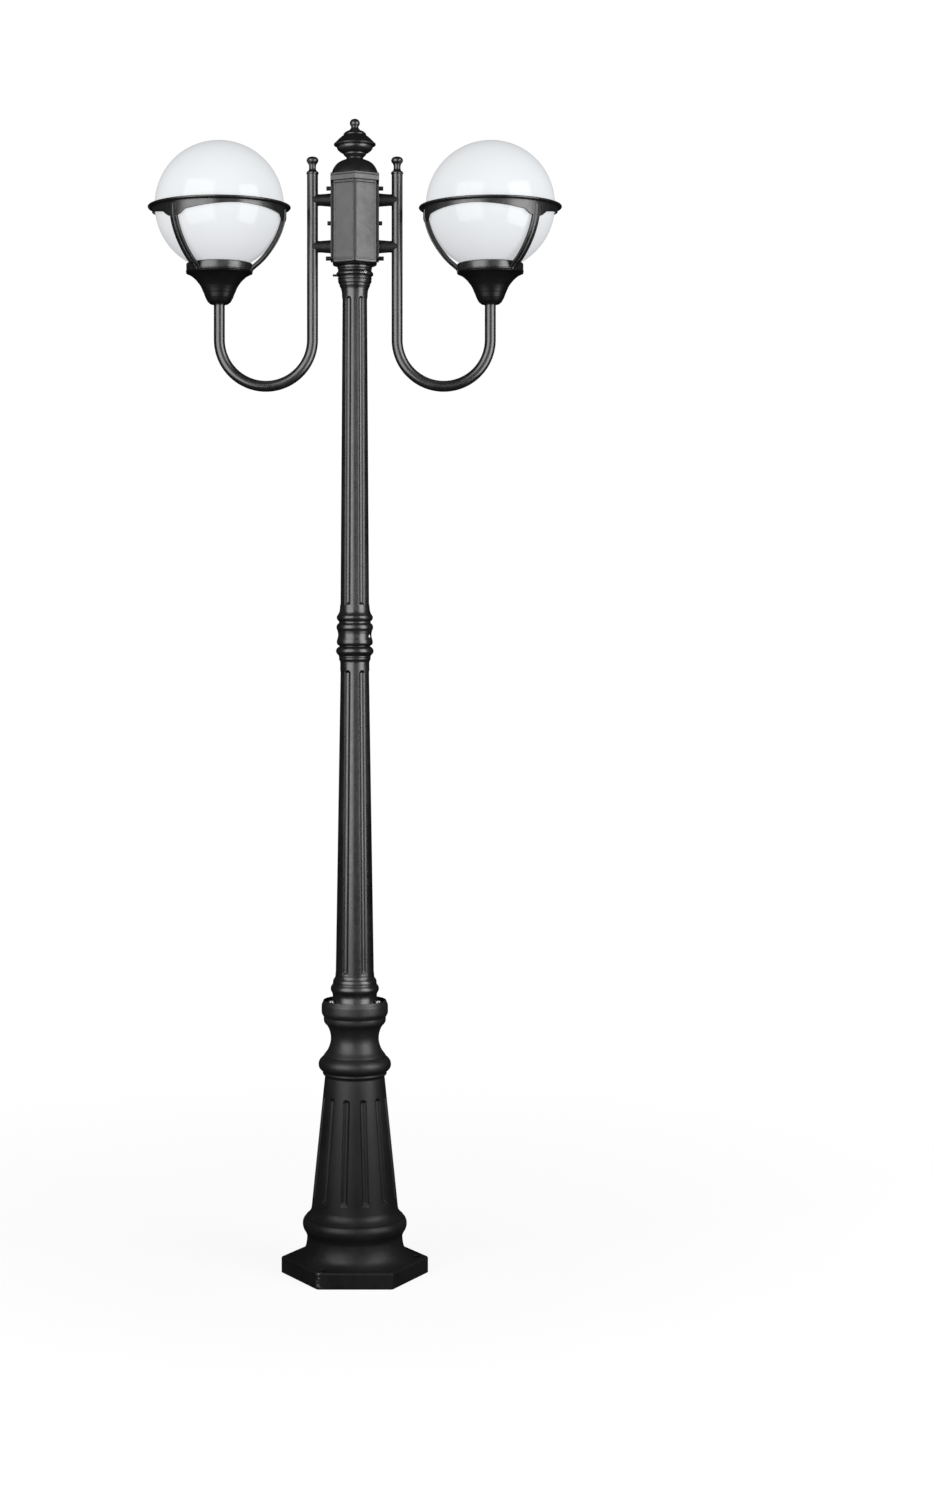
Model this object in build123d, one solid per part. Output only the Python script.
from build123d import *
import math
import os

# Street lamp post with two J-shaped arms, each carrying a globe lamp. Millimetres, +Z up,
# origin on the post's axis at the underside of the foot. The front is -Y and the arms
# spread along X, with +X to the right. Profile tables list (radius, height) points.

os.makedirs("parts", exist_ok=True)

# ---------------------------------------------------------------- shared sizes
SEAT_Z = 518.0            # seat of the lower shaft inside the cup of the base
JOINT_Z = 1214.0          # plane where the two shaft castings meet
JOINT_BORE_R = 21.05      # bore of both castings around the joint spigot
NECK_Z = 1919.3           # shoulder that carries the head
SPIGOT_R = 24.0           # round spigot the head turns on
CAP_FLOOR = 1954.0        # floor inside the head socket casting
BOX_Z0, BOX_Z1 = 1958.0, 2118.0
BOX_A = 42.9              # apothem of the hexagonal box
BOX_IN = 39.3             # apothem of its bore
LID_TOP = 2158.0          # neck of the lid, where the finial sits
ARM_X = 82.0              # upright leg of the arm tube
LAMP_X = 262.6            # lamp axis
BEND_Z = 1807.4           # height where the arm's half-circle bend starts and ends
TUBE_R, TUBE_RI = 10.65, 8.65
ARM_TOP = 2128.0
PLATE_X0, PLATE_X1 = 43.7, 46.7         # inner and outer face of the arm plate
STUB_Z = (2078.0, 1987.6)
CABLE_Z = STUB_Z[1]                     # the lower stub carries the cable
STUB_BORE_R, CABLE_HOLE_R = 5, 6
PLATE_SCREWS = ((2100.5, 8.5), (2033.0, 6.5), (1964.7, 9.5))    # height, head length
GALLERY_Z = 1937.0        # plane where the cage sits on the cup
GALLERY_FLOOR = 1943.0
SCREW_R, SCREW_HOLE_R = 3.0, 3.05       # larger screws and their close holes


# ---------------------------------------------------------------- helpers
def profile_face(points, plane=Plane.XZ):
    return make_face(plane * Polyline(*points, close=True))


def lathe(points):
    """A solid of revolution about Z from a closed (radius, height) outline."""
    return revolve(profile_face(points), axis=Axis.Z)


def tube(inner_r, outer_r, z0, z1):
    """Upright tube, or a solid cylinder when inner_r is 0."""
    base_align = (Align.CENTER, Align.CENTER, Align.MIN)
    body = Pos(0, 0, z0) * Cylinder(outer_r, z1 - z0, align=base_align)
    if inner_r > 0:
        body -= Pos(0, 0, z0 - 1) * Cylinder(inner_r, z1 - z0 + 2, align=base_align)
    return body


def hex_prism(apothem, z0, z1):
    """Hexagonal prism with flats on +X and -X and a corner in front."""
    outline = RegularPolygon(apothem / math.cos(math.pi / 6), 6, rotation=30)
    return extrude(Pos(0, 0, z0) * outline, amount=z1 - z0)


def rod(start, end, radius):
    """Cylinder from one point to another."""
    start, end = Vector(*start), Vector(*end)
    cylinder = Cylinder(radius, (end - start).length, align=(Align.CENTER, Align.CENTER, Align.MIN))
    return Plane(origin=start, z_dir=(end - start)) * cylinder


def x_rod(x0, x1, z, radius):
    return rod((x0, 0, z), (x1, 0, z), radius)


def x_slab(x0, x1, width, z0, z1):
    return Pos((x0 + x1) / 2, 0, (z0 + z1) / 2) * Box(x1 - x0, width, z1 - z0)


def turned(shape, angles):
    return [Rot(0, 0, angle) * shape for angle in angles]


def from_front(azimuth):
    """Turn from +X to an azimuth counted from the front, positive to the right."""
    return azimuth - 90.0


def flute(radius_at, z0, z1, radius, depth):
    """Ball-nosed groove cutter lying along a straight taper."""
    low, high = [(radius_at(z) + radius - depth, 0, z) for z in (z0 + radius, z1 - radius)]
    return rod(low, high, radius) + Pos(*low) * Sphere(radius) + Pos(*high) * Sphere(radius)


def cap_screw(radius, head_r, z0, seat_z, z1):
    """Upright screw with a round head on top."""
    return tube(0, radius, z0, seat_z) + tube(0, head_r, seat_z, z1)


def grub_screw(x0, x1, z, radius, socket_x, socket_r):
    """Headless screw along X, with a round socket in its outer end."""
    return x_rod(x0, x1, z, radius) - x_rod(socket_x, x1 + 2, z, socket_r)


def hex_nut():
    return hex_prism(5.0, 0, 5) - tube(0, SCREW_HOLE_R, -1, 6)


def plate_holes(x0, x1, radius):
    """Cutters along X for the arm plate's screws and the cable."""
    holes = [x_rod(x0, x1, z, radius) for z, _ in PLATE_SCREWS]
    return holes + [x_rod(x0, x1, CABLE_Z, CABLE_HOLE_R)]


def mirrored(shapes):
    return [mirror(shape, about=Plane.YZ) for shape in shapes]


def save(name, *shapes):
    solids = [solid for shape in shapes for solid in shape.solids()]
    piece = solids[0] if len(solids) == 1 else Compound(children=solids)
    export_step(piece, f"parts/{name}.step")


def save_pair(name, *shapes):
    """A right-hand piece and its mirror image."""
    save(name + "_right", *shapes)
    save(name + "_left", *mirrored(shapes))


# ---------------------------------------------------------------- base casting
FOOT_R = 143.0            # corner radius of the hexagonal foot plate
FOOT_T = 31.0
ANCHOR_PCD = 240.0        # circle of the anchor holes
ANCHOR_R = 6.0
ANCHOR_BOSS_R = 14
CONE_Z0, CONE_Z1 = 128.0, 380.0         # fluted cone
CONE_R0, CONE_R1 = 83.5, 57.8
FOOT_SCREW_X = 52         # distance of the shaft foot screws from the axis
FOOT_SCREW_TURNS = [from_front(azimuth) for azimuth in (60, 180, 300)]


def cone_r(z):
    return CONE_R0 - (z - CONE_Z0) * (CONE_R0 - CONE_R1) / (CONE_Z1 - CONE_Z0)


anchor_places = [
    Pos(ANCHOR_PCD / 2 * math.cos(angle), ANCHOR_PCD / 2 * math.sin(angle), 0)
    for angle in (0, 2 * math.pi / 3, -2 * math.pi / 3)
]
foot = extrude(RegularPolygon(FOOT_R, 6, rotation=0), amount=FOOT_T)
foot = fillet(foot.edges().filter_by(Axis.Z), 7)
foot = fillet(foot.faces().sort_by(Axis.Z)[-1].edges(), 3)
BASE_OUTER = [
    (114, 25), (113.5, 31), (107, 34), (102, 38.5), (98, 44), (95.3, 50), (93.8, 56),
    (92.3, 70), (92.2, 73.6), (94.6, 79.5), (98.8, 87), (100.4, 92), (100.8, 97),
    (99.8, 101.5), (97, 106.6), (94.5, 110), (90.6, 114), (86.8, 118), (84.3, 122),
    (CONE_R0, CONE_Z0), (CONE_R1, CONE_Z1),
    (58.1, 383.7), (61.8, 387.6), (64, 391.5), (67.2, 395.4), (69.5, 399), (70.2, 403),
    (70, 407), (68.7, 411), (65, 414.7), (61.6, 418.6), (60, 422.5), (56.3, 426.4),
    (53.6, 430), (51.6, 434), (48.4, 442), (46.8, 449.6), (46.6, 457.4), (48.1, 465),
    (50.4, 473), (53.5, 478.7), (57.4, 482.6), (59.5, 486.4), (60.2, 492), (60.2, 496),
    (62.7, 500), (64.2, 504), (64.4, 511), (64.2, 519), (63.7, 521), (61.8, 525),
    (60.8, 528), (58.2, 528), (57.6, 525), (57.6, SEAT_Z),
]
BASE_INNER = [
    (20, SEAT_Z), (20, 508), (46, 504), (50, 494), (44, 482), (38, 470), (36, 455),
    (40, 438), (48, 424), (54, 408), (50, 390), (50, 375), (CONE_R0 - 9, CONE_Z0),
    (84, 104), (84, 60), (92, 45), (100, 25),
]
base = foot + lathe(BASE_OUTER + BASE_INNER)
# hollow underside of the foot, leaving a boss at each anchor
pocket = extrude(RegularPolygon(FOOT_R - 9, 6, rotation=0), amount=FOOT_T - 7)
pocket -= [place * Cylinder(ANCHOR_BOSS_R, 60) for place in anchor_places]
base -= pocket
base -= tube(0, 96, 20, 34)
base -= [place * Cylinder(ANCHOR_R, 100) for place in anchor_places]
base -= turned(flute(cone_r, 145, 345, radius=6.6, depth=4.6), [15 + 30 * i for i in range(12)])
base -= turned(Pos(FOOT_SCREW_X, 0, 500) * Cylinder(SCREW_HOLE_R, 40), FOOT_SCREW_TURNS)
save("base_casting", base)

# ---------------------------------------------------------------- lower shaft
SHAFT_FLUTE_TURNS = [60 * i for i in range(6)]
LOW_Z0, LOW_Z1 = 575.0, 1178.0          # straight taper
LOW_R0, LOW_R1 = 37.6, 28.2
FLANGE_TOP = 524.0        # foot flange, under the screw heads


def lower_r(z):
    return LOW_R0 - (z - LOW_Z0) * (LOW_R0 - LOW_R1) / (LOW_Z1 - LOW_Z0)


lower = lathe([
    (57.4, SEAT_Z), (57.4, 523), (56.4, FLANGE_TOP), (45.8, FLANGE_TOP), (44.6, 527),
    (43.7, 531), (42.8, 535), (42.8, 539), (43.8, 542.4), (45.8, 545.4), (46.9, 549),
    (46.6, 553), (45, 556.2), (43.2, 558), (42.4, 560), (42.4, 564), (41.4, 567.5),
    (39.2, 570.5), (38, 573), (LOW_R0, LOW_Z0), (LOW_R1, LOW_Z1), (28.4, 1184),
    (29.6, 1186), (30.6, 1188), (30.7, 1190), (30.2, 1191), (30.9, 1192.4), (30.9, 1194),
    (31.4, 1195.4), (33.4, 1197.4), (34.9, 1199.6), (36.2, 1202), (36.5, 1204),
    (36, 1206.6), (34.7, 1209), (32.8, 1211), (29.9, 1213), (29.9, JOINT_Z),
    (JOINT_BORE_R, JOINT_Z), (JOINT_BORE_R, 1135), (23, 1120), (31, 590), (31, SEAT_Z),
])
lower -= turned(flute(lower_r, 580, 1168, radius=6.5, depth=3.2), SHAFT_FLUTE_TURNS)
lower -= turned(Pos(FOOT_SCREW_X, 0, 520) * Cylinder(3.3, 30), FOOT_SCREW_TURNS)
save("lower_shaft", lower)

foot_screw = cap_screw(SCREW_R, 5.6, 504, FLANGE_TOP, 529.5)
foot_screw -= extrude(Pos(0, 0, 526.5) * RegularPolygon(2.9, 6), amount=5)
save("shaft_foot_screws", *turned(Pos(FOOT_SCREW_X, 0, 0) * foot_screw, FOOT_SCREW_TURNS))

save("joint_spigot", tube(17.5, 21.0, 1138, 1290))

# ---------------------------------------------------------------- upper shaft
UP_Z0, UP_Z1 = 1302.0, 1884.0           # straight taper
UP_R0, UP_R1 = 28.3, 24.6
SPIGOT_TOP = 1946.0
JOINT_SCREW_Z = 1233
joint_screw_turn = Rot(0, 0, from_front(62))


def upper_r(z):
    return UP_R0 - (z - UP_Z0) * (UP_R0 - UP_R1) / (UP_Z1 - UP_Z0)


upper = lathe([
    (29.9, JOINT_Z), (31.4, 1215), (33.6, 1217), (34.7, 1219), (34.9, 1222), (34.5, 1225),
    (33.4, 1228.7), (32.5, 1232.6), (32.3, 1236), (32.9, 1240), (33.8, 1244), (35.1, 1247),
    (35.5, 1250), (34.9, 1253.6), (33.2, 1256.2), (31.3, 1257.8), (30.9, 1259),
    (30.9, 1261.6), (32, 1262.6), (33.6, 1264.2), (34.8, 1267), (35.1, 1269.4),
    (34.6, 1271.6), (33.2, 1273.6), (31.3, 1277), (29.7, 1281), (28.9, 1287), (28.4, 1296),
    (UP_R0, UP_Z0), (UP_R1, UP_Z1), (24.8, 1891), (25.4, 1901), (26.4, 1904.6),
    (27.8, 1908), (29.4, 1911), (29.9, 1913), (29.7, 1914.7), (31, 1916.2), (31.6, 1917.4),
    (31.6, NECK_Z), (SPIGOT_R, NECK_Z), (SPIGOT_R, SPIGOT_TOP - 1),
    (SPIGOT_R - 1, SPIGOT_TOP), (17, SPIGOT_TOP), (17, 1850), (JOINT_BORE_R, 1300),
    (JOINT_BORE_R, JOINT_Z),
])
upper -= turned(flute(upper_r, 1293, 1890, radius=6.0, depth=2.9), SHAFT_FLUTE_TURNS)
upper -= joint_screw_turn * x_rod(15, 40, JOINT_SCREW_Z, SCREW_HOLE_R)
save("upper_shaft", upper)

joint_screw = grub_screw(21.1, 32.2, JOINT_SCREW_Z, SCREW_R, socket_x=29.2, socket_r=1.6)
save("shaft_grub_screw", joint_screw_turn * joint_screw)

save("supply_cable", rod((0, 0, 150), (0, 0, 1998), 4.5))

# ---------------------------------------------------------------- head socket
SOCKET_BORE_R = SPIGOT_R + 0.15
SET_SCREW_Z, LOCK_PIN_Z = 1934.8, 1931.6
SET_SCREW_TURNS = [from_front(azimuth) for azimuth in (34, 154)]
LOCK_PIN_TURN = from_front(-86)
BRIDGE_SCREW_Y = 24
EARTH_X, EARTH_Y = 22, 12

socket = lathe([
    (SOCKET_BORE_R, NECK_Z), (32.7, NECK_Z), (32.7, 1921.6), (31.6, 1922.6), (31.6, 1923.4),
    (33, 1924.4), (33.2, 1926.6), (32.3, 1927.6), (32.4, 1928.8), (33.8, 1930),
    (35.4, 1931.8), (35.9, 1934.2), (35.2, 1936.4), (33.6, 1938.2), (32.3, 1939.8),
    (32.2, 1942.4), (32.6, 1943.6), (33.4, 1945), (33.5, 1948), (33.2, 1949.6),
    (32.6, 1950.2), (36, 1950.6), (39.6, 1951.2), (43.5, 1952.6), (47.5, 1954.8),
    (50.2, 1957), (50.6, BOX_Z0), (8, BOX_Z0), (8, 1947), (SOCKET_BORE_R, 1947),
]) & hex_prism(BOX_A + 0.3, 1900, 2000)
hex_corners = socket.edges().filter_by(Axis.Z).filter_by(
    lambda edge: math.hypot(edge.center().X, edge.center().Y) > 45)
socket = fillet(hex_corners, 3.0)
socket -= hex_prism(BOX_IN, CAP_FLOOR, 1970)
socket -= turned(x_rod(20, 50, SET_SCREW_Z, SCREW_HOLE_R), SET_SCREW_TURNS)
socket -= Rot(0, 0, LOCK_PIN_TURN) * x_rod(20, 50, LOCK_PIN_Z, 1.3)
socket -= [Pos(0, s * BRIDGE_SCREW_Y, CAP_FLOOR) * Cylinder(2.05, 14) for s in (-1, 1)]
socket -= Pos(EARTH_X, EARTH_Y, CAP_FLOOR) * Cylinder(2.55, 12)
save("head_socket", socket)

set_screw = grub_screw(24.1, 37.0, SET_SCREW_Z, SCREW_R, socket_x=33.8, socket_r=1.5)
save("head_set_screws", *turned(set_screw, SET_SCREW_TURNS))
save("head_lock_pin", Rot(0, 0, LOCK_PIN_TURN) * x_rod(24.1, 43.0, LOCK_PIN_Z, 1.25))
save("cable_grommet", tube(4.7, 7.9, 1950, CAP_FLOOR) + tube(4.7, 11, CAP_FLOOR, CAP_FLOOR + 2.5))

# ---------------------------------------------------------------- box
PANEL_DEPTH = 1           # recess in each of the four faces without an arm
box = hex_prism(BOX_A, BOX_Z0, BOX_Z1)
box = fillet(box.edges().filter_by(Axis.Z), 3.5)
box -= hex_prism(BOX_IN, BOX_Z0 - 1, BOX_Z1 + 1)
panel = x_slab(BOX_A - PANEL_DEPTH, BOX_A + 9, 43, 1961, 2107)
box -= turned(panel, (60, 120, 240, 300))
for side in (1, -1):
    box -= plate_holes(side * 30, side * 60, 3.2)
save("box_body", box)

# ---------------------------------------------------------------- lid and finial
LID_Z0 = 2112.0           # lower edge of the lid's skirt
SKIRT_TOP = 2127.0
LID_SEAT = BOX_Z1 + 1.5   # top of the gasket
save("lid_gasket", hex_prism(42.4, BOX_Z1, LID_SEAT) - hex_prism(39.8, BOX_Z1 - 1, BOX_Z1 + 3))

lid = hex_prism(47.0, LID_Z0, SKIRT_TOP)
lid = chamfer(lid.faces().sort_by(Axis.Z)[-1].edges(), 0.6)
lid += hex_prism(45.6, SKIRT_TOP - 1, SKIRT_TOP + 2.2)
lid += lathe([
    (0, 2120), (45.2, 2120), (45.2, 2129.2), (44.7, 2131), (43.9, 2133.4), (42.4, 2137.2),
    (40.6, 2140.6), (38.5, 2143.8), (36, 2146.8), (32.5, 2149.6), (28.1, 2152.2),
    (22.7, 2154.6), (17.8, 2156.2), (16.4, 2157), (16.3, LID_TOP), (0, LID_TOP),
])
lid -= hex_prism(43.6, LID_Z0 - 1, LID_SEAT)
lid -= lathe([
    (0, 2118), (41, 2118), (40.6, 2128), (38.6, 2135.5), (35, 2141), (30.5, 2145.3),
    (24, 2149), (12, 2152.3), (0, 2152.3),
])
lid -= tube(0, 3.3, 2140, 2170)
save("dome_lid", lid)

save("finial", lathe([
    (SCREW_HOLE_R, LID_TOP), (16.3, LID_TOP), (16.0, 2160), (17.2, 2162), (20.2, 2163.6),
    (21.6, 2165.4), (22.1, 2166.7), (23.2, 2168.6), (26.9, 2170.6), (29.7, 2172.5),
    (31.9, 2174.4), (33.5, 2176), (34.8, 2178.2), (35.7, 2180), (37.4, 2182.2),
    (39.6, 2183.4), (40.5, 2185), (40.3, 2187), (39.2, 2189.4), (36.5, 2192), (33.8, 2194),
    (32.6, 2195.6), (30.9, 2197.7), (28.2, 2199.6), (25.2, 2201.6), (22.2, 2203.5),
    (21.9, 2205.5), (20.6, 2207.4), (18.6, 2209), (15.3, 2211.3), (10.8, 2213.2),
    (9.7, 2215), (8, 2217), (7.4, 2219), (7.6, 2220.6), (8.8, 2222.6), (9.6, 2224.8),
    (9.8, 2226.8), (9.5, 2229), (8.7, 2231), (7.3, 2232.9), (5.2, 2234.4), (2.6, 2235.3),
    (0, 2235.5), (0, 2202), (SCREW_HOLE_R, 2202),
]))

# ---------------------------------------------------------------- fittings inside the box
BRIDGE_TOP = 2078
BRIDGE_W, BRIDGE_T = 16, 3
BRIDGE_HALF = 30.5        # half its span along Y
BRIDGE_FOOT = 11.7        # length of each foot along Y
bridge_z = BRIDGE_TOP - BRIDGE_T / 2
save("lid_tie_rod", rod((0, 0, 2062), (0, 0, 2199), SCREW_R))
bridge = Pos(0, 0, bridge_z) * Box(BRIDGE_W, 2 * BRIDGE_HALF, BRIDGE_T)
for side in (-1, 1):
    leg_y = side * (BRIDGE_HALF - BRIDGE_T / 2)
    foot_y = side * (BRIDGE_HALF - BRIDGE_FOOT / 2)
    bridge += (Pos(0, leg_y, (CAP_FLOOR + BRIDGE_TOP) / 2)
               * Box(BRIDGE_W, BRIDGE_T, BRIDGE_TOP - CAP_FLOOR))
    bridge += Pos(0, foot_y, CAP_FLOOR + BRIDGE_T / 2) * Box(BRIDGE_W, BRIDGE_FOOT, BRIDGE_T)
bridge -= Pos(0, 0, bridge_z) * Cylinder(3.2, 10)
bridge -= [Pos(0, s * BRIDGE_SCREW_Y, CAP_FLOOR) * Cylinder(2.2, 12) for s in (-1, 1)]
save("rod_bridge", bridge)

bridge_screw = cap_screw(2.0, 3.5, CAP_FLOOR - 5, CAP_FLOOR + BRIDGE_T, CAP_FLOOR + 5.5)
save("bridge_screws", *[Pos(0, s * BRIDGE_SCREW_Y, 0) * bridge_screw for s in (-1, 1)])
save("rod_nuts", *[Pos(0, 0, z) * hex_nut() for z in (BRIDGE_TOP, 2070)])

earth_screw = cap_screw(2.5, 4.6, CAP_FLOOR - 5, CAP_FLOOR + 1.5, CAP_FLOOR + 5)
earth_screw += tube(0, 5.2, CAP_FLOOR, CAP_FLOOR + 1.5)
save("earth_screw", Pos(EARTH_X, EARTH_Y, 0) * earth_screw)

TERMINAL_X = (-10, 0, 10)
TERMINAL_Y = 20.5
TERMINAL_SCREW_Z = 2025
block = Pos(0, TERMINAL_Y, 2020) * Box(30, 14, 20)
block -= [Pos(x, 13.5, TERMINAL_SCREW_Z) * Rot(90, 0, 0) * Cylinder(2.3, 12) for x in TERMINAL_X]
block -= [Pos(x, TERMINAL_Y, 2010) * Cylinder(2.4, 12) for x in TERMINAL_X]
save("terminal_block", block)
save("terminal_screws", *[
    Pos(x, 16.2, TERMINAL_SCREW_Z) * Rot(90, 0, 0) * Cylinder(2.1, 5) for x in TERMINAL_X])

# ---------------------------------------------------------------- arms
BEND_R = (LAMP_X - ARM_X) / 2


def j_edges(z_top, z_end):
    """Down the leg, round the half circle and up the lamp axis."""
    bend_bottom = ((LAMP_X + ARM_X) / 2, 0, BEND_Z - BEND_R)
    return [
        Line((ARM_X, 0, z_top), (ARM_X, 0, BEND_Z)),
        ThreePointArc((ARM_X, 0, BEND_Z), bend_bottom, (LAMP_X, 0, BEND_Z)),
        Line((LAMP_X, 0, BEND_Z), (LAMP_X, 0, z_end)),
    ]


arm_path = Wire(j_edges(ARM_TOP, 1893.0))
arm_start = Plane(origin=(ARM_X, 0, ARM_TOP), x_dir=(0, 1, 0), z_dir=(0, 0, -1))
arm = sweep(arm_start * Circle(TUBE_R), path=arm_path)
arm -= sweep(arm_start * Circle(TUBE_RI), path=arm_path)
arm -= x_rod(ARM_X - 20, ARM_X, CABLE_Z, STUB_BORE_R)
save_pair("arm_tube", arm)

# hollow stubs between plate and leg, their ends hollowed to fit round the leg
stub = revolve(profile_face([
    (PLATE_X1, 0), (PLATE_X1, 12.3), (PLATE_X1 + 4, 11.9), (ARM_X - 12, 11.5),
    (ARM_X, 10.5), (ARM_X, 0),
], Plane.XY), axis=Axis.X)
stub -= x_rod(PLATE_X1 - 1, ARM_X + 1, 0, STUB_BORE_R)
leg = Pos(ARM_X, 0, 0) * tube(0, TUBE_R + 0.01, 1900, 2120)
save_pair("arm_stubs", *[Pos(0, 0, z) * stub - leg for z in STUB_Z])

plate = x_slab(PLATE_X0, PLATE_X1, 44, 1959.5, 2109)
plate = fillet(plate.edges().filter_by(Axis.X), 5)
plate -= plate_holes(40, 50, 3.2)
save_pair("arm_plate", plate)
save_pair("plate_gasket", x_slab(BOX_A, PLATE_X0, 42, 1961.5, 2108) - plate_holes(40, 50, 3.4))

screws, nuts = [], []
for z, head_length in PLATE_SCREWS:
    head_end = PLATE_X1 + head_length
    screw = x_rod(33, PLATE_X1, z, SCREW_R) + x_rod(PLATE_X1, head_end, z, 3.7)
    hex_socket = Rot(0, 90, 0) * extrude(RegularPolygon(2.2, 6), amount=5)
    screws.append(screw - Pos(head_end - 2, 0, z) * hex_socket)
    nuts.append(Pos(BOX_IN - 5, 0, z) * (Rot(0, 90, 0) * hex_nut()))
save("arm_plate_screws", *screws, *mirrored(screws))
save("arm_plate_nuts", *nuts, *mirrored(nuts))

save_pair("arm_knob", Pos(ARM_X, 0, 0) * lathe([
    (0, 2116), (8.6, 2116), (8.6, ARM_TOP), (11.6, ARM_TOP), (11.9, 2129.4),
    (11.7, 2131.2), (11, 2132.4), (8.8, 2134), (7.6, 2135.6), (6.9, 2138), (6.6, 2141),
    (6.7, 2143.6), (7.4, 2146.4), (8.4, 2148.6), (10.2, 2150.6), (11.3, 2152.6),
    (11.5, 2154.4), (11.1, 2156.6), (9.9, 2158.8), (7.9, 2160.6), (5, 2161.7), (0, 2162.2),
]))

CABLE_START = (26, 0, CABLE_Z)
ELBOW_R = 10
elbow_x, elbow_z = ARM_X - ELBOW_R, CABLE_Z - ELBOW_R      # centre of the elbow
elbow_step = ELBOW_R * math.sin(math.pi / 4)
cable_path = Wire([
    Line(CABLE_START, (elbow_x, 0, CABLE_Z)),
    ThreePointArc((elbow_x, 0, CABLE_Z), (elbow_x + elbow_step, 0, elbow_z + elbow_step),
                  (ARM_X, 0, elbow_z)),
] + j_edges(elbow_z, 1922))
cable_start = Plane(origin=CABLE_START, z_dir=(1, 0, 0))
save_pair("arm_cable", sweep(cable_start * Circle(3.0), path=cable_path))

# ---------------------------------------------------------------- lamp cup and cage
# Lamp pieces are modelled on their own axis, then moved out to the right.
lamp = Pos(LAMP_X, 0, 0)
RIB_AZIMUTHS = (40.0, -80.0, 160.0)     # ribs of the right lamp, from the front
RIB_TURNS = [from_front(azimuth) for azimuth in RIB_AZIMUTHS]
CAGE_SCREW_TURNS = [from_front(azimuth + 60) for azimuth in RIB_AZIMUTHS]
CAGE_SCREW_X = 41.5       # distance of the cage screws from the lamp axis
GLOBE_SCREW_Z = 1948.4
HOLDER_TOP = GALLERY_FLOOR + 1.5        # top of the holder plate
RIB_T = 7.4               # radial thickness
RIB_HALF_W = 8.5
RIB_TOP = 2054
RING_IN = 126.8
CUP_BORE_R = TUBE_R + 0.1

cup = lathe([
    (CUP_BORE_R, 1875), (15.6, 1875), (17.4, 1876), (19.9, 1878), (22, 1880),
    (24.2, 1883.7), (26.4, 1887.6), (27.8, 1891.5), (29.3, 1895.4), (30.8, 1899),
    (32.6, 1903), (34.4, 1907), (36.4, 1911), (39, 1914.7), (41.9, 1918.6), (45, 1922.5),
    (48.8, 1926.4), (53.4, 1930), (57, 1932.4), (60.2, 1933.8), (62.6, 1935),
    (64.2, 1936.2), (64.2, GALLERY_Z), (36, GALLERY_Z), (36, 1926), (31, 1914),
    (27, 1903), (23, 1891), (19, 1883), (18.6, 1881), (CUP_BORE_R, 1881),
])
cup -= turned(Pos(CAGE_SCREW_X, 0, 1934) * Cylinder(2.05, 12), CAGE_SCREW_TURNS)
save_pair("lamp_cup", lamp * cup)

RIB_OUTER = [
    (131.5, RIB_TOP), (131.5, 2046), (131.0, 2040), (130.2, 2034), (129.0, 2028),
    (127.2, 2022), (125.2, 2016), (122.8, 2010), (120.2, 2004), (117.2, 1998),
    (113.8, 1992), (110, 1986), (106, 1980), (101.6, 1974), (96.8, 1968), (91.6, 1962),
    (85.8, 1956), (79, 1950), (72, 1944.4), (66.5, 1940.2), (65.4, GALLERY_Z),
]


def offset_inward(points, distance):
    """Shift each point square to the chord between its neighbours, toward the axis."""
    shifted = []
    for i, (radius, z) in enumerate(points):
        before = points[max(i - 1, 0)]
        after = points[min(i + 1, len(points) - 1)]
        run, rise = after[0] - before[0], after[1] - before[1]
        chord = math.hypot(run, rise)
        shifted.append((radius + rise / chord * distance, z - run / chord * distance))
    return shifted


def band(half_angle, points):
    """A part turn of a closed (radius, height) outline, centred on +X."""
    face = make_face(Rot(0, 0, -half_angle) * (Plane.XZ * Polyline(*points, close=True)))
    return revolve(face, axis=Axis.Z, revolution_arc=2 * half_angle)


rib_inner = [(RING_IN, RIB_TOP)]
rib_inner += [point for point in offset_inward(RIB_OUTER, RIB_T)[1:] if point[1] > 1946]
rib_outline = RIB_OUTER + [(57.0, GALLERY_Z), (57.0, 1946.0)] + rib_inner[::-1]
rib = extrude(profile_face(rib_outline), amount=RIB_HALF_W, both=True)
ring = lathe([
    (RING_IN, 2050), (129.6, 2050), (130, 2051), (130, 2060), (131.4, 2061), (136.6, 2061),
    (138, 2062), (138.4, 2063.4), (138, 2064.8), (136.8, 2065.7), (RING_IN, 2065.7),
])
gallery = lathe([
    (36, GALLERY_Z), (63, GALLERY_Z), (63, 1938), (64.8, 1938.4), (64.8, 1939.2),
    (64, 1940.2), (64, 1953.4), (63, 1954.5), (56, 1954.5), (56, GALLERY_FLOOR),
    (36, GALLERY_FLOOR),
])
# stepped gusset where each rib meets the ring
gusset = band(12.2, [(RING_IN, 2043.5), (129.6, 2043.5), (130, 2050), (130, 2052),
                     (RING_IN, 2052)])
gusset += band(24, [(RING_IN, 2047), (129.8, 2047), (130, 2050), (130, 2052), (RING_IN, 2052)])
gusset += band(8.4, [(125.4, 2036), (129, 2036), (129.4, 2044), (129.4, 2046),
                     (RING_IN, 2046), (126.4, 2041)])
cage = ring + gallery
for angle in RIB_TURNS:
    cage += Rot(0, 0, angle) * rib
    cage += Rot(0, 0, angle) * gusset
cage -= tube(0, 56, GALLERY_FLOOR, 1970)
for angle in RIB_TURNS:
    cage -= Rot(0, 0, angle) * x_rod(50, 90, GLOBE_SCREW_Z, 2.05)
cage -= turned(Pos(CAGE_SCREW_X, 0, 1940) * Cylinder(2.2, 20), CAGE_SCREW_TURNS)
save_pair("lamp_cage", lamp * cage)


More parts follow.
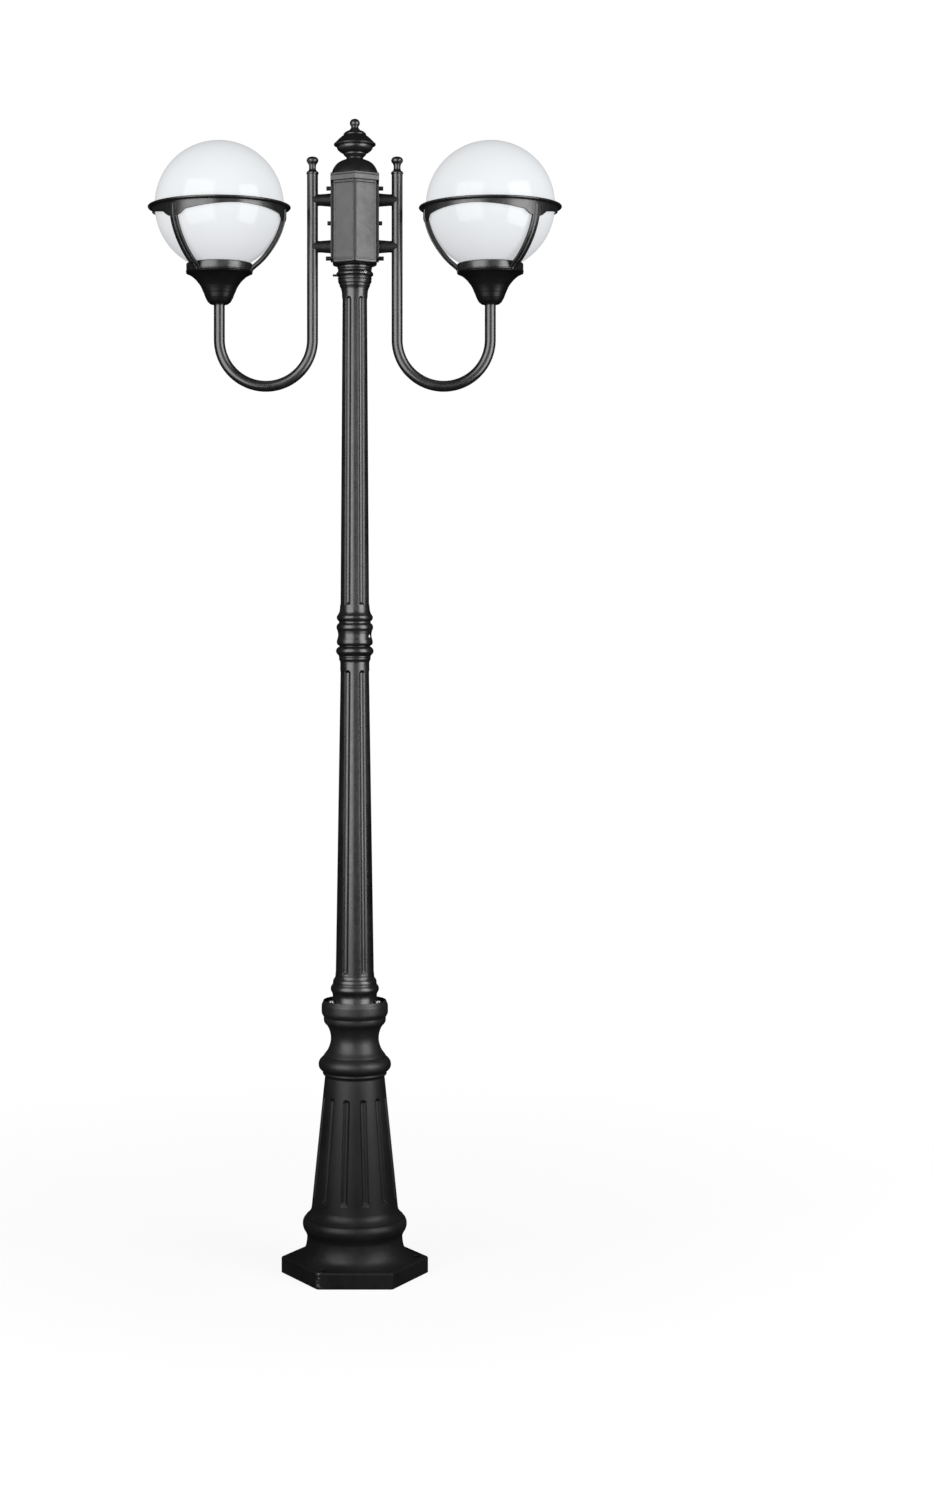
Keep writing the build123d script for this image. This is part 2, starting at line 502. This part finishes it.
def save_lamp_set(name, shape, angles=(0,)):
    """Copies round both lamp axes, as one piece."""
    copies = [lamp * copy for copy in turned(shape, angles)]
    save(name, *copies, *mirrored(copies))


cage_screw = Pos(CAGE_SCREW_X, 0, 0) * cap_screw(2.0, 3.6, 1929, HOLDER_TOP, 1947)
save_lamp_set("cage_screws", cage_screw, CAGE_SCREW_TURNS)
globe_screw = grub_screw(51, 63, GLOBE_SCREW_Z, 2.0, socket_x=60.5, socket_r=1.1)
save_lamp_set("globe_grub_screws", globe_screw, RIB_TURNS)
save_lamp_set("cup_nuts", hex_prism(13.5, 1881, 1888) - tube(0, TUBE_R + 0.05, 1880, 1890))

# ---------------------------------------------------------------- lampholder and bulb
holder_plate = tube(17.6, 45.8, GALLERY_FLOOR, HOLDER_TOP)
holder_plate -= turned(Pos(CAGE_SCREW_X, 0, 1944) * Cylinder(2.2, 10), CAGE_SCREW_TURNS)
save_pair("holder_plate", lamp * holder_plate)
save_pair("lampholder", lamp * lathe([
    (0, 1926), (15, 1926), (17.3, 1928), (17.3, HOLDER_TOP), (21.5, HOLDER_TOP),
    (21.5, 1947), (19.6, 1948.5), (19.6, 1974), (18.6, 1975), (13.7, 1975),
    (13.7, 1951.5), (0, 1951.5),
]))
save_pair("bulb_base", lamp * lathe([
    (0, 1951.8), (5, 1951.8), (6.5, 1953.4), (12.4, 1955.5), (13.3, 1957), (13.3, 1977),
    (0, 1977),
]))
BULB_OUTER = [
    (13.6, 1977), (14.2, 1984), (16.2, 1992), (20.2, 2001), (25, 2010), (28.6, 2019),
    (30, 2029), (29.4, 2039), (27, 2048), (22.6, 2055.6), (16, 2061.4), (8, 2064.6),
    (0, 2065.6),
]
BULB_INNER = [
    (0, 2064.4), (7.7, 2063.4), (15.3, 2060.4), (21.6, 2054.8), (25.9, 2047.4),
    (28.2, 2038.8), (28.8, 2029), (27.4, 2019.4), (23.9, 2010.6), (19.1, 2001.6),
    (15.1, 1992.4), (13, 1984.2), (12.4, 1977),
]
save_pair("bulb_glass", lamp * lathe(BULB_OUTER + BULB_INNER))

# ---------------------------------------------------------------- globe
GLOBE_Z, GLOBE_R, GLOBE_T = 2067.5, 125.0, 3.0
NECK_R, NECK_T = 50.0, 3.2              # straight neck under the globe
NECK_BOTTOM = GALLERY_FLOOR + 2         # top of the globe gasket
save_pair("globe_gasket", lamp * tube(46.2, 54.5, GALLERY_FLOOR, NECK_BOTTOM))

bore_r = GLOBE_R - GLOBE_T
neck_bore_r = NECK_R - NECK_T
neck_top = GLOBE_Z - math.sqrt(GLOBE_R ** 2 - NECK_R ** 2)
neck_bore_top = GLOBE_Z - math.sqrt(bore_r ** 2 - neck_bore_r ** 2)
globe_face = make_face([Plane.XZ * edge for edge in (
    ThreePointArc((0, GLOBE_Z + GLOBE_R), (GLOBE_R, GLOBE_Z), (NECK_R, neck_top)),
    Line((NECK_R, neck_top), (NECK_R, NECK_BOTTOM)),
    Line((NECK_R, NECK_BOTTOM), (neck_bore_r, NECK_BOTTOM)),
    Line((neck_bore_r, NECK_BOTTOM), (neck_bore_r, neck_bore_top)),
    ThreePointArc((neck_bore_r, neck_bore_top), (bore_r, GLOBE_Z), (0, GLOBE_Z + bore_r)),
    Line((0, GLOBE_Z + bore_r), (0, GLOBE_Z + GLOBE_R)),
)])
save_pair("globe", lamp * revolve(globe_face, axis=Axis.Z))
